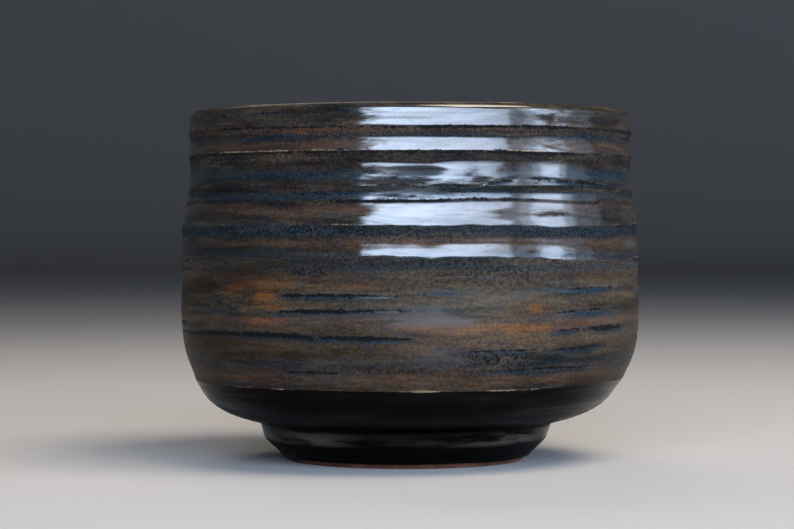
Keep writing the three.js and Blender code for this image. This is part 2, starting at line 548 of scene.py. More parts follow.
wallGlaze = {
    "rows": 250,
    "rowsAtCrests": 2.5,      # rows lie closer at the rings' crests and the arris, by one and so many times
    "crestReach": 0.7,        # within about this distance
    "crestDrop": 0.1,         # and are closest this far below a crest
    "formSteps": 4000,        # points on the plain form before its rows are chosen
    "crownRows": 16,
    # radius and height of the plain wall from the arris up to the crown
    "form": [cup["arris"], (45.75, 22.2), (46.65, 30.0), (46.45, 37.5), (46.5, 45.5), (46.25, 48.2),
             (45.66, 51.4), (45.3, 53.4), (44.95, 56.0), (44.9, 61.0), (lipMiddle + lipHalf, lipBase)],
    "uneven": [(0.03, 3, 24, 9, 9.0), (0.005, 4, 20, 5, 1.3)],  # depth, seed, waves, times round, pitch
    # height above the arris at which the relief is full, and heights above the base of the crown at which it
    # starts to die away and has gone
    "reliefEnds": (1.5, 0.5, 2.1),
    # throwing rings: each leans out by proud over the length lean down to its crest, as a power of the
    # distance, then tucks in below it; the crest wavers, and is ragged over short lengths; even is the share
    # of proud that it has all round, and swells add to it at a bearing, over a half width, by a share; tan is
    # the pale break on the crest, partly a painted highlight, which is unbroken over the bearings pale; fold
    # is the black line under it, drawn over the bearings line; dark is the painted shade of the groove below
    "ring": {"power": 1.4, "waver": 0.3, "ragged": 0.1, "even": 1, "swells": [], "tan": 0.2, "pale": (0, 0),
             "fold": 0.3, "line": (-180, 180), "dark": 0.6},
    "rings": [
        {"crest": 66.6, "lean": 3.9, "tuck": 2.0, "proud": 0.27, "waver": 0.15, "ragged": 0.08, "tan": 0.75,
         "fold": 1.0},
        {"crest": 61.7, "lean": 2.7, "tuck": 2.3, "proud": 0.22, "waver": 0.2, "ragged": 0.08, "tan": 1.0,
         "pale": (-66, 8), "fold": 1.0},
        {"crest": 55.2, "lean": 4.5, "power": 0.6, "tuck": 1.6, "proud": 0.42, "even": 0.38,
         "swells": [(-13, 8, 0.3), (11.5, 3.6, 0.95), (19, 3.0, 0.6), (38, 8, 0.85)],
         "fold": 0.5, "line": (-12, 60), "dark": 0.3},
        {"crest": 52.65, "lean": 2.7, "power": 1.2, "tuck": 0.8, "proud": 0.14, "even": 0.2,
         "swells": [(-6, 8, 0.9), (6, 5, 0.9)], "fold": 0.85, "line": (-24, 38)},
        {"crest": 47.85, "lean": 3.4, "power": 1.3, "tuck": 2.4, "proud": 0.18, "ragged": 0.4, "tan": 0.85,
         "pale": (-62, -34), "dark": 0.4},
        {"crest": 41.3, "lean": 2.8, "tuck": 3.2, "proud": 0.27, "waver": 0.4, "ragged": 0.6, "tan": 0.0,
         "swells": [(40, 8, 0.5), (-82, 28, -0.3)], "dark": 0.4},
    ],
    # seed and number of waves of what changes as a ring goes round
    "ringLines": {"waver": (40, 9), "ragged": (220, 70), "lean": (140, 14), "proud": (60, 9),
                  "broken": (80, 12)},
    "ringUneven": (0.1, 0.15),    # shares by which a ring's lean and its proud change
    "ringBroken": (0.75, 0.5),    # middle and swing of what is left of the pale break and the black line
    "ringFlat": (90, 30, 0.45),   # rings are lower so many degrees from the front, within a width, by a share
    "groove": (0.3, 0.8, 1.3),    # how far below a crest it starts, and shares of tuck between which it ends
    "crestGrit": (0.1, 0.45),     # grit on a crest: height above it and half width
    "grooveGrit": 0.7,
    # the pale break is partly a painted highlight
    "tanRise": 0.05,              # height of the pale break and of the black line, from the crest
    "foldRise": -0.35,
    # folds in the clay that show as black lines: height, first and last bearing in degrees, rise over that
    # length, strength
    "folds": [
        (34.6, -38, 0, 0.2, 0.9), (31.3, -42, 6, 0.9, 0.95), (27.0, -92, -12, 0.2, 1.0),
        (27.2, -50, 10, -0.9, 1.0), (19.9, -36, -8, 0.3, 0.6), (35.6, 36, 64, 0.4, 0.8),
        (31.0, 32, 66, 1.2, 0.6), (27.7, 33, 47, 0.2, 1.0), (28.0, 44, 68, 0.3, 1.0),
        (24.0, 8, 33, 0.4, 0.9), (24.1, 31, 58, 0.6, 0.9), (20.4, 6, 60, 0.3, 0.8),
        (55.1, 4, 19, 0.4, 0.6), (55.3, 17, 27, 1.5, 0.9), (56.8, 25, 66, -1.4, 0.9),
        (39.0, -30, -17, 0.0, 0.5), (69.2, -66, -22, 0.1, 0.5),
    ],
    # more over the sides and back: seed, number, and least and most of their first bearing, height, length in
    # degrees, rise and strength
    "moreFolds": (21, 34, (68, 18, 10, -0.5, 0.4), (262, 58, 34, 0.7, 1.0)),
    "foldLines": {"waver": (100, 40), "drawn": (170, 24), "pale": (150, 9)},  # as for the rings
    # a fold: share of its half length over which it fades, how far it wavers, its ledge's height and the
    # lengths that this leans over above and tucks in over below, and the groove's depth, drop and half width
    "fold": {"fade": 0.6, "waver": 0.2, "proud": 0.035, "lean": 1.6, "tuck": 0.4, "depth": 0.14, "drop": 0.2,
             "half": 0.25},
    "foldDrawn": (0.85, 0.35, 1.1),  # middle, swing and most of the black line's share
    # the pale break over a fold is partly a painted highlight
    "foldPale": (0.32, 0.7),         # height of the pale break over a fold, and its share
    "foldBroken": (0, 2),            # middle and swing of what is left of it
    "foldHalo": (0.6, 0.7, 0.85),    # drop, half width and share of the blue below a fold
    # where the coat breaks pale along the arris, partly a painted highlight: first and last bearing, strength
    "arrisBreaks": [(-60, -20, 1.0), (-14, 16, 1.25), (8, 44, 1.0)],
    "arrisSides": (60, 75),          # degrees from the front over which seeded breaks take over
    "lipNotPale": (-48, 32, 0.9),       # bearing, half width and share of the stretch where the lip isn't pale
    # seed and number of waves of the pale breaks on both edges, which are partly painted highlights, then
    # their middle and swing
    "edgeLines": {"arris": (301, 16), "front": (304, 40), "lip": (302, 14)},
    "edgeBroken": {"arris": (0.5, 0.7), "front": (0.95, 0.4), "lip": (0.6, 0.6)},
    "lineReach": 1.4,         # a line's field falls off to nothing within this distance
    "lineFade": 0.45,         # and is lower all over by this, where the line has no strength
    "bandWaver": 0.35,        # how far a band drifts up and down
    "bandUneven": 0.25,       # share by which its strength changes
    "bandLines": {"drift": (0, 7), "strength": (20, 9)},  # as for the rings, counted on from the seeds
    "bandSeeds": {"pools": 200, "warm": 250},
    # bands where the coat pooled blue: height, half width, strength
    "pools": [(64.5, 0.8, 0.8), (57.4, 1.3, 1.0), (53.1, 1.1, 1.0), (46.5, 1.7, 0.85), (41.9, 0.9, 0.9),
              (39.9, 0.9, 0.75), (21.3, 1.2, 0.5)],
    # bands of brick brown on the rings' faces, in the same form
    "warm": [(65.6, 0.7, 0.8), (62.8, 1.0, 0.8), (50.7, 1.0, 0.7), (44.5, 0.9, 0.9), (37.8, 1.6, 0.3),
             (29.4, 1.0, 0.7), (25.6, 1.2, 0.3), (18.7, 1.4, 0.8)],
    "dusk": (43, 48, 0.15),   # heights between which the coat goes blue-black, and by what share
    # painted shade deepens the tone low down, by the first share in front and by both at the sides, and
    # on the left; the tone is also deeper high up
    "shadeLow": (27, 20),
    "shadeFront": 0.4,
    "shadeSides": 1.35,
    "shadeAway": (12, 47),
    "deepHigh": (43, 47, 0.9),
    "shadeLeft": (-150, -22, 30, 0.8),   # first and last bearing, degrees of fading, share
    # a painted sheen raises the tone in these patches
    "lighter": [(8, 31, 28, 5, 0.4)],   # and lighter in patches, given as below
    "glossy": (33, 41),       # heights between which the coat goes from satin to glossy
    "satinGloss": 0.18,       # share of gloss below
    "barest": (23, 31, 0.2),  # and lower down this share of that
    "grooveMatt": 0.9,        # share of gloss that a groove loses
    "dryLip": (0.9, 1.4),     # heights above the base of the crown between which the lip loses its gloss
    "colorRough": (0.4, 0.2),  # roughness of the color layer where the coat is satin, and under the gloss
}
# patches in the coat: bearing, height, half width in degrees and in millimetres, strength; a seed and a
# number say how many more there are over the sides and back, between the least and the most of each value
patchRange = (70, 18, 4, 0.6, 0.4), (290, 66, 18, 1.6, 1.0)
wallPatches = {
    # where it broke rust
    "rust": {"seed": 8, "more": 16, "front": [
        (-46, 35.4, 6, 0.9, 0.8), (-37, 34.2, 3.5, 1.6, 1.0), (-34, 32.3, 4, 0.6, 0.8),
        (-40, 36.4, 14, 1.4, 0.35), (-27, 65.4, 2.5, 0.8, 1.0), (-22, 65.2, 9, 0.6, 0.45),
        (24, 28.3, 24, 0.8, 0.7), (31, 32.2, 2, 1.2, 0.7), (-36, 29.6, 9, 0.5, 0.7),
        (-12, 36.5, 4, 0.6, 0.4), (8, 24.6, 14, 1.5, 0.3)]},
    # where it pooled blue, and in the two highest near the middle of the front partly a painted sheen
    "blue": {"seed": 9, "more": 14, "front": [
        (8, 34.9, 5, 0.5, 0.9), (6, 31.6, 9, 0.8, 0.8), (10, 24.5, 5, 1.2, 0.7), (7, 21.8, 8, 0.9, 0.6),
        (-57, 31.0, 9, 0.6, 0.7), (-50, 27.2, 14, 0.7, 0.5), (46, 35.2, 16, 0.7, 1.0),
        (48, 30.6, 14, 0.7, 0.9)]},
    # clusters of dark specks
    "specks": {"seed": 10, "more": 16, "front": [
        (20, 38.5, 14, 2.0, 0.9), (-24, 39.2, 6, 0.8, 0.9), (24, 22.4, 10, 2.0, 1.0),
        (-6, 46.4, 30, 1.4, 0.8), (8, 40.6, 26, 0.9, 0.7), (-10, 20.4, 12, 0.6, 0.7),
        (10, 64.6, 30, 0.8, 0.7)]},
    # where the gloss breaks into streaks
    "haze": {"seed": 11, "more": 0, "front": [
        (-14, 68.5, 6, 1.8, 1.0), (-12, 62.8, 5, 1.8, 0.9), (-13, 57.5, 7, 2.8, 0.9),
        (-13, 53.6, 7, 1.2, 0.9), (-13.5, 49.8, 6, 2.0, 1.0), (-16, 42.5, 8, 1.6, 1.0),
        (0, 53.1, 20, 0.7, 0.75), (29, 42.3, 5, 1.4, 0.8), (37, 67.9, 9, 2.2, 0.85),
        (37, 62.8, 8, 1.6, 0.55), (31, 63, 5, 1.6, 0.5), (37, 49.9, 8, 0.7, 0.9),
        (39, 42.3, 5, 1.2, 0.4), (-5, 55.9, 14, 1.3, 1.3), (15, 57.6, 2.2, 1.6, 0.7),
        (17, 56.2, 3.5, 0.8, 1.0)]},
    # in front, a painted sheen; over the sides and back, a milky bloom
    "bloomAndSheen": {"seed": 12, "more": 8, "front": [
        (8, 31.2, 11, 2.4, 0.55), (6, 29.7, 16, 1.2, 0.75), (18, 34.4, 18, 1.8, 0.25),
        (10, 23.5, 14, 1.6, 0.35)]},
    # dark umber blotches over the sides and back, and a painted shade in the two on the front left
    "umberAndShade": {"seed": 13, "more": 10, "front": [(-50, 39.6, 24, 2.2, 1.0), (-50, 24.8, 26, 2.4, 1.0)]},
}


def foldMarks():
    # the folds seen from the front, then seeded ones that keep clear of the front
    drawn = seeded(*wallGlaze["moreFolds"])
    behind = [(low, first, first + wide, climb, dark) for first, low, wide, climb, dark in drawn]
    return wallGlaze["folds"] + behind


def ellipses(height, patches):
    # the strongest of soft elliptical patches at each height and angle
    mask = np.zeros(np.broadcast(height, turn).shape)
    for middle, low, wide, tall, strength in patches:
        mask = np.maximum(mask, strength * hump(apart(bearing, middle), wide) * hump(height - low, tall))
    return mask


def patchMask(height, name):
    # a kind of patch: those in front, then seeded ones round the back
    kind = wallPatches[name]
    return ellipses(height, kind["front"] + seeded(kind["seed"], kind["more"], *patchRange))


def bandMask(height, name):
    # the strongest of soft bands all round, each drifting up and down and varying in strength as it goes
    mask = np.zeros(np.broadcast(height, turn).shape)
    uneven = wallGlaze["bandUneven"]
    for number, (middle, half, strength) in enumerate(wallGlaze[name]):
        vary = wanders(wallGlaze["bandLines"], wallGlaze["bandSeeds"][name] + number)
        rise = height - middle - wallGlaze["bandWaver"] * vary["drift"]
        varied = strength * (1 - uneven + uneven * vary["strength"])
        mask = np.maximum(mask, varied * hump(rise, half))
    return mask


def lineField(rise, offset, strength):
    # one along a line, falling off evenly to nothing at lineReach from it, and lower all over where it fades
    return 1 - np.abs(rise - offset) / wallGlaze["lineReach"] - wallGlaze["lineFade"] * (1 - strength)


def strongest(masks, **more):
    # each mask raised to the new one of its name where that is higher
    for key, values in more.items():
        masks[key] = np.maximum(masks.get(key, 0), values)


def addRings(height, relief, masks):
    # a ring's lean falls off as a power of the distance above its crest, and its tuck is a smooth step below;
    # the pale break, partly a painted highlight, the black line, the groove's painted shade and the grit
    # follow the crest
    leanUneven, proudUneven = wallGlaze["ringUneven"]
    sideways, sideWidth, sideLoss = wallGlaze["ringFlat"]
    edge, near, far = wallGlaze["groove"]
    gritRise, gritHalf = wallGlaze["crestGrit"]
    for number, changes in enumerate(wallGlaze["rings"]):
        ring = {**wallGlaze["ring"], **changes}
        vary = wanders(wallGlaze["ringLines"], number)
        tuck = ring["tuck"]
        waver = ring["waver"] * vary["waver"] + ring["ragged"] * vary["ragged"]
        rise = height - ring["crest"] - waver
        length = ring["lean"] * (1 + leanUneven * vary["lean"])
        lean = np.clip(1 - rise / length, 0, 1) ** ring["power"]
        share = ring["even"] * (1 + proudUneven * vary["proud"])
        share = share * (1 - sideLoss * hump(away - sideways, sideWidth))
        for middle, half, more in ring["swells"]:
            share = share + more * hump(apart(bearing, middle), half)
        relief += ring["proud"] * share * np.where(rise > 0, lean, eased(rise, -tuck, 0))
        below = np.where(rise > 0, 0, eased(rise, 0, -edge) * eased(rise, -far * tuck, -near * tuck))
        broken = patchy(vary["broken"], *wallGlaze["ringBroken"])
        tan = ring["tan"] * np.maximum(broken, stretch(*ring["pale"]))
        fold = ring["fold"] * broken * stretch(*ring["line"])
        # shade is a painted shade in the groove below the crest
        strongest(masks, under=below, shade=ring["dark"] * below,
                  grit=np.maximum(hump(rise - gritRise, gritHalf), wallGlaze["grooveGrit"] * below),
                  glint=lineField(rise, wallGlaze["tanRise"], tan),
                  ink=lineField(rise, wallGlaze["foldRise"], fold))


def addFolds(height, relief, masks):
    # a fold is a small ledge over a narrow groove that fades towards its ends, with a black line in the
    # groove, a pale break on the ledge, which is partly a painted highlight, and a blue halo below
    fold = wallGlaze["fold"]
    paleRise, paleShare = wallGlaze["foldPale"]
    haloDrop, haloHalf, haloShare = wallGlaze["foldHalo"]
    middle, swing, most = wallGlaze["foldDrawn"]
    for number, (low, first, last, climb, dark) in enumerate(foldMarks()):
        vary = wanders(wallGlaze["foldLines"], number)
        along = apart(bearing, (first + last) / 2) / ((last - first) / 2)
        faded = smoothStep((1 - np.abs(along)) / fold["fade"])
        rise = height - low - climb * (along + 1) / 2 - fold["waver"] * vary["waver"]
        ledge = np.where(rise > 0, np.clip(1 - rise / fold["lean"], 0, 1), eased(rise, -fold["tuck"], 0))
        groove = hump(rise + fold["drop"], fold["half"])
        relief += faded * (fold["proud"] * ledge - fold["depth"] * groove)
        strength = dark * faded
        drawn = np.clip(middle + swing * vary["drawn"], 0, most)
        pale = paleShare * patchy(vary["pale"], *wallGlaze["foldBroken"])
        strongest(masks, ink=lineField(rise, -fold["drop"], strength * drawn),
                  glint=lineField(rise, paleRise, strength * pale),
                  halo=haloShare * strength * hump(rise + haloDrop, haloHalf))


def glossMask(height, masks):
    # satin low down, glossy above, and dull in grooves and beside folds
    low, high, share = wallGlaze["barest"]
    dull = wallGlaze["satinGloss"] * (share + (1 - share) * eased(height, low, high))
    gloss = dull + (1 - dull) * eased(height, *wallGlaze["glossy"])
    return gloss * (1 - wallGlaze["grooveMatt"] * masks["under"]) * (1 - masks["halo"])


def paintedShadeMask(height):
    # how much deeper the tone is: the strongest of the painted shade low down and on the left, and of the
    # deeper tone high up, less the painted sheen in patches
    sides = wallGlaze["shadeFront"] + wallGlaze["shadeSides"] * eased(away, *wallGlaze["shadeAway"])
    low, high, share = wallGlaze["deepHigh"]
    first, last, fade, leftShare = wallGlaze["shadeLeft"]
    deep = np.maximum(eased(height, *wallGlaze["shadeLow"]) * sides, share * eased(height, low, high))
    deep = np.maximum(deep, leftShare * stretch(first, last, fade))
    return deep - ellipses(height, wallGlaze["lighter"])


def wallRelief(height):
    # how far the face of the wall stands out at each height and angle, and the masks that its finish follows
    relief = unevenness(height, wallGlaze["uneven"])
    masks = {}
    addRings(height, relief, masks)
    addFolds(height, relief, masks)
    low, high, dusk = wallGlaze["dusk"]
    satin, gloss = wallGlaze["colorRough"]
    pools = [bandMask(height, "pools"), patchMask(height, "blue"), masks["halo"]]
    for pool in pools + [dusk * eased(height, low, high)]:
        strongest(masks, pool=pool)
    masks["warm"] = bandMask(height, "warm")
    masks["gloss"] = glossMask(height, masks)
    # deep: painted shade low down, most at the sides, and on the left; a deeper tone high up; less a painted
    # sheen
    masks["deep"] = paintedShadeMask(height)
    masks["satin"] = satin + (gloss - satin) * eased(height, *wallGlaze["glossy"])
    for name in ("rust", "specks", "haze", "bloomAndSheen", "umberAndShade"):
        masks[name] = patchMask(height, name)
    del masks["under"], masks["halo"]
    return relief, masks


# how strongly the coat breaks pale along the arris, in seeded places and over given stretches in front, and
# along the lip; these pale lines are partly a painted highlight
edgeLines = wanders(wallGlaze["edgeLines"], 0)
pale = {name: patchy(line, *wallGlaze["edgeBroken"][name]) for name, line in edgeLines.items()}
arrisGlint = pale["arris"] * eased(away, *wallGlaze["arrisSides"])
for first, last, strength in wallGlaze["arrisBreaks"]:
    arrisGlint = np.maximum(arrisGlint, strength * stretch(first, last) * pale["front"])
notPaleMiddle, notPaleHalf, notPaleShare = wallGlaze["lipNotPale"]
lipGlint = pale["lip"] * (1 - notPaleShare * hump(apart(bearing, notPaleMiddle), notPaleHalf))


def wallSkin():
    # radius and height of the coat's face: the plain form and the outer half of the crown, moved out by the
    # relief, which dies away at the arris and over the crown
    lines = [ring["crest"] - wallGlaze["crestDrop"] for ring in wallGlaze["rings"]] + [arrisHeight]
    plain = smoothThrough(wallGlaze["form"], wallGlaze["formSteps"])
    plain = crowdedPath(plain, lines, wallGlaze["crestReach"], wallGlaze["rowsAtCrests"], wallGlaze["rows"])
    path = np.concatenate([plain, crownArc(0, np.pi / 2, wallGlaze["crownRows"])[1:]])
    height = path[:, 1:]
    relief, masks = wallRelief(height)
    full, fading, gone = wallGlaze["reliefEnds"]
    relief *= eased(height - arrisHeight, 0, full) * (1 - eased(height - lipBase, fading, gone))
    # pale breaks along the arris and the lip, partly painted highlights
    strongest(masks, glint=lineField(height - arrisHeight, 0, arrisGlint))
    strongest(masks, glint=lineField(height - lipBase, lipRise, lipGlint))
    masks["gloss"] = masks["gloss"] * (1 - eased(height - lipBase, *wallGlaze["dryLip"]))
    return path, path[:, :1] + relief, height - lipDrop(height), masks, cup["glaze"]


wallColor = {
    "mottle": {"Size": 1.0, "Stretch": 8.0},
    "second": {"Size": 1.6, "Stretch": 6.0},
    "tone": {"Patch": 0.28, "Streak": 0.22, "Speckle": 0.24},  # shares of the mottle, over the start
    "toneStart": 0.16,
    # how the painted shade, the deeper tone high up and the painted sheen change the tone
    "deepTone": -0.25,        # change of tone where it is deepest, and what a streak gives back
    "deepStreak": 0.16,
    "tones": [(0.1, rgb(0.0058, 0.0055, 0.0043)), (0.4, rgb(0.0243, 0.0193, 0.0121)),
              (0.65, rgb(0.0565, 0.0437, 0.0266)), (0.95, rgb(0.115, 0.088, 0.051))],
    "grain": {"Streak": 0.55, "Speckle": 0.45},  # how brick and rust are broken up, over the start
    "grainStart": 0.2,
    "brick": rgb(0.097, 0.051, 0.033),
    "rust": rgb(0.212, 0.0706, 0.0153),
    "rustFlecks": 0.14,       # share of rust in flecks all over
    "pool": rgb(0.0027, 0.0074, 0.0137),
    "poolLight": rgb(0.0141, 0.0412, 0.0657),
    "poolRun": {"Streak": 0.35},  # how a pool is broken up, over the start
    "poolStart": 0.8,
    "stray": (0.6, 0.95, 0.35),   # streaks that are blue all over: the values between which they grow, share
    # umber blotches, and a painted shade on the front left
    "umberAndShade": rgb(0.02, 0.0115, 0.005),
    "umberShadePatch": (1.8, 0.0),     # patches between which umber and bloom grow
    # a milky bloom, and in front a painted sheen
    "bloomAndSheen": rgb(0.102, 0.098, 0.1),
    "bloomSheenPatch": (0.1, 0.7),
    # dark specks, and the painted shade in grooves
    "speckAndShade": rgb(0.0024, 0.0029, 0.004),
    "speckSize": (0.45, 0.2),     # speckle between which specks and the shade in grooves grow
    "shadeGrain": (0.9, 0.1),
    "streaky": {"Streak": 0.25},  # how the gloss is broken up, over the start
    "streakyStart": 0.75,
    "hazeReach": 1.6,             # how far haze eats into the streaks, and over what part of that it grows
    "hazeSoft": (-0.3, 1.0),
    "roughStreak": {"Streak": 0.12},
    "grit": 1.4,                  # bump of the grit on crests and in grooves, over the start
    "gritStart": 0.12,
    "lines": {"Pitch": 1300.0, "Lines": 0.25, "Peel": 1.0},
    "bump": (0.5, 0.0003),        # strength and distance
    "shader": {"Specular IOR Level": 0.05, "Coat IOR": 2.1, "Coat Roughness": 0.115},
}


def wallColors(tree, mottle, second):
    # brown with a fine grain, its tone deepened high up and by painted shade, and raised by a painted sheen;
    # brick in bands, rust where the coat is thin and blue where it pooled, then burnt patches, painted shade
    # on the front left, and milky patches, a painted sheen in front, with dark specks in clusters and a
    # painted shade in the grooves
    # the tone goes down by painted shade and by a deeper tone high up, and up by a painted sheen
    deeper = plus(tree, times(tree, mottle["Streak"], wallColor["deepStreak"]), wallColor["deepTone"])
    tone = weighted(tree, mottle, wallColor["tone"], wallColor["toneStart"])
    color = ramp(tree, plus(tree, tone, masked(tree, "deep", deeper)), wallColor["tones"])
    grainy = weighted(tree, mottle, wallColor["grain"], wallColor["grainStart"])
    color = blendColor(tree, masked(tree, "warm", grainy), color, wallColor["brick"])
    flecks = times(tree, times(tree, second["Patch"], second["Speckle"]), wallColor["rustFlecks"])
    color = blendColor(tree, plus(tree, masked(tree, "rust", grainy), flecks), color, wallColor["rust"])
    # blue where the coat pooled, and in two patches in front partly a painted sheen
    blue = blendColor(tree, second["Speckle"], wallColor["pool"], wallColor["poolLight"])
    low, high, share = wallColor["stray"]
    stray = times(tree, spread(tree, second["Streak"], low, high), share)
    pooled = worked(tree, "MAXIMUM", attribute(tree, "pool"), stray)
    run = weighted(tree, second, wallColor["poolRun"], wallColor["poolStart"])
    color = blendColor(tree, times(tree, pooled, run), color, blue)
    # umber blotches, and a painted shade on the front left
    burntAndShade = masked(tree, "umberAndShade", spread(tree, second["Patch"], *wallColor["umberShadePatch"]))
    color = blendColor(tree, burntAndShade, color, wallColor["umberAndShade"])
    # a milky bloom, and in front a painted sheen
    milkyAndSheen = masked(tree, "bloomAndSheen", spread(tree, second["Patch"], *wallColor["bloomSheenPatch"]))
    color = blendColor(tree, milkyAndSheen, color, wallColor["bloomAndSheen"])
    dotted = masked(tree, "specks", spread(tree, mottle["Speckle"], *wallColor["speckSize"]))
    # painted shade in the grooves
    shaded = masked(tree, "shade", spread(tree, second["Speckle"], *wallColor["shadeGrain"]))
    return blendColor(tree, worked(tree, "MAXIMUM", dotted, shaded), color, wallColor["speckAndShade"])


def wallMaterial():
    # the colors under a glossy coat, which is streaky, eaten away in a haze of streaks and dull in the black
    material, tree, sockets = newMaterial("variegatedGlaze", wallColor["shader"])
    mottle = useGroup(tree, runMottle, **wallColor["mottle"])
    second = useGroup(tree, runMottle, **wallColor["second"])
    color = wallColors(tree, mottle, second)
    edges = {"Glint": attribute(tree, "glint"), "Ink": attribute(tree, "ink")}
    broken = useGroup(tree, brokenEdge, Color=color, **edges)
    tree.links.new(broken["Color"], sockets["Base Color"])
    eaten = worked(tree, "SUBTRACT", masked(tree, "haze", wallColor["hazeReach"]), second["Streak"])
    kept = worked(tree, "SUBTRACT", 1.0, spread(tree, eaten, *wallColor["hazeSoft"]))
    streaky = times(tree, weighted(tree, mottle, wallColor["streaky"], wallColor["streakyStart"]), kept)
    gloss = times(tree, masked(tree, "gloss", streaky), broken["Whole"])
    tree.links.new(gloss, sockets["Coat Weight"])
    rough = weighted(tree, mottle, wallColor["roughStreak"], attribute(tree, "satin"))
    tree.links.new(rough, sockets["Roughness"])
    grit = plus(tree, masked(tree, "grit", wallColor["grit"]), wallColor["gritStart"])
    turnedSkin(tree, sockets, wallColor, Grit=grit)
    return material


wallPoints, wallMasks, clayWallRadius, clayWallHeight = coatOf(*wallSkin())
putPiece("wall_glaze", putMesh("variegatedWall", wallPoints, wallMasks), wallMaterial())

# Foot glaze: the black coat over the undercut base and down the side of the foot

footGlaze = {
    "rows": 130,
    # radius, height and rounding of the turned corners, from the bead at the glaze line up to the arris
    "corners": [(24.3, 0.75, 0), (25.0, 0.8, 0.3), (28.7, 4.4, 0.7), (29.75, 7.6, 0.6), (36.9, 9.75, 1.6),
                (40.7, 12.1, 2.2), (*cup["arris"], 0)],
    "bead": 1.2,              # length over which the coat grows to its full thickness
    "uneven": [(0.03, 12, 18, 3, 1.6), (0.06, 13, 14, 5, 7.0)],  # turning lines and a wobble, as on the wall
    "evenEnds": (2, 1.5),     # lengths over which they die away at the glaze line and at the arris
    "lineWander": (320, 11),  # seed and number of waves of the glaze line,
    "lineWaver": 0.2,         # how far it wavers up and down,
    "lineLean": 0.9,          # how far it goes out for each unit that it goes up,
    "lineReach": 2.0,         # and how far up the coat that is felt
    "sideFrom": (4.0, 5.2),   # heights between which the side of the foot starts and ends
    "sideTo": (7.7, 6.9),
    # painted light on the side of the foot, less of it in front
    "footLitFront": 0.15,        # share of its lighter color in front, which grows to one over these degrees
    "footLitAway": (12, 42),
    # the dark on the bevel is a painted shadow
    "bevelTop": (4.8, 3.8),   # heights between which the dark bevel starts, and its share
    "bevelShadow": 0.75,
    # painted shadow in the crease over the seat
    "footShadow": (8.2, 1.3),     # height and half width of the dark crease over the seat
    "sheenFrom": (10.5, 12.5),  # heights between which the swell under the arris takes on a sheen
}


def footSkin():
    # radius and height of the coat's face along its corners, with shallow turning lines and a wavering lower
    # edge
    path = turnedPath(footGlaze["corners"], footGlaze["rows"])
    length = lengthAlong(path)[:, None]
    left = length[-1] - length
    outward, upward = outwardOf(path)
    first, last = footGlaze["evenEnds"]
    lines = unevenness(length, footGlaze["uneven"]) * smoothStep(length / first) * smoothStep(left / last)
    waver = footGlaze["lineWaver"] * wander(*footGlaze["lineWander"]) * hump(length, footGlaze["lineReach"])
    level = path[:, 1:]
    radius = path[:, :1] + outward * lines + footGlaze["lineLean"] * waver
    height = level + upward * lines + waver
    # painted light on the side of the foot, more at the sides than in front
    upright = eased(level, *footGlaze["sideFrom"]) * eased(level, *footGlaze["sideTo"])
    front = footGlaze["footLitFront"]
    # painted shadow in the crease over the seat and on the bevel
    creaseHeight, creaseHalf = footGlaze["footShadow"]
    bevel = footGlaze["bevelShadow"] * eased(level, *footGlaze["bevelTop"])
    masks = {
        "glint": np.clip(lineField(left, 0, arrisGlint), 0, 1),
        "side": upright * (front + (1 - front) * eased(away, *footGlaze["footLitAway"])),
        "footShadow": np.maximum(hump(level - creaseHeight, creaseHalf), bevel),
        "sheen": eased(level, *footGlaze["sheenFrom"]) + upright,
    }
    return path, radius, height, masks, cup["glaze"] * smoothStep(length / footGlaze["bead"])


footColor = {
    "mottle": {"Size": 0.8, "Stretch": 7.0},
    "tones": [(0.0, rgb(0.0026, 0.0023, 0.0021)), (0.6, rgb(0.0065, 0.0053, 0.0047)),
              (1.0, rgb(0.0188, 0.0118, 0.0092))],
    # painted light on the side of the foot
    "side": rgb(0.088, 0.074, 0.065),
    # painted shadow in the crease and on the bevel
    "footShadow": rgb(0.0006, 0.0006, 0.0006),
    "facing": (0.45, 0.95),   # the coat shows between these slants to the view, up to its share
    "coat": 0.6,
    "rough": (0.25, 0.42),
    "lines": {"Pitch": 1500.0, "Lines": 1.0, "Peel": 0.4, "Grit": 0.1},
    "bump": (0.3, 0.0001),
    "shader": {"IOR": 1.5, "Specular IOR Level": 0.018, "Coat Roughness": 0.3},
}


def footMaterial():
    # near black with brown streaks, with painted light on the side of the foot and painted shadow in the
    # crease and on the bevel, and pale only where it runs off the arris, partly as a painted highlight
    material, tree, sockets = newMaterial("blackGlaze", footColor["shader"])
    mottle = useGroup(tree, runMottle, **footColor["mottle"])
    color = ramp(tree, times(tree, mottle["Patch"], mottle["Streak"]), footColor["tones"])
    # painted light on the side of the foot
    color = blendColor(tree, masked(tree, "side", mottle["Streak"]), color, footColor["side"])
    # painted shadow in the crease and on the bevel
    color = blendColor(tree, attribute(tree, "footShadow"), color, footColor["footShadow"])
    broken = useGroup(tree, brokenEdge, Color=color, Glint=attribute(tree, "glint"))
    tree.links.new(broken["Color"], sockets["Base Color"])
    facing = newNode(tree, "ShaderNodeLayerWeight", {"Blend": 0.5}).outputs["Facing"]
    edges = masked(tree, "sheen", spread(tree, facing, *footColor["facing"]))
    tree.links.new(times(tree, edges, footColor["coat"]), sockets["Coat Weight"])
    tree.links.new(roughFrom(tree, mottle["Streak"], *footColor["rough"]), sockets["Roughness"])
    turnedSkin(tree, sockets, footColor)
    return material


footPoints, footMasks, clayFootRadius, clayFootHeight = coatOf(*footSkin())
putPiece("foot_glaze", putMesh("blackUnderside", footPoints, footMasks), footMaterial())

# Liner: the coat inside, from the crown of the lip to the middle of the floor

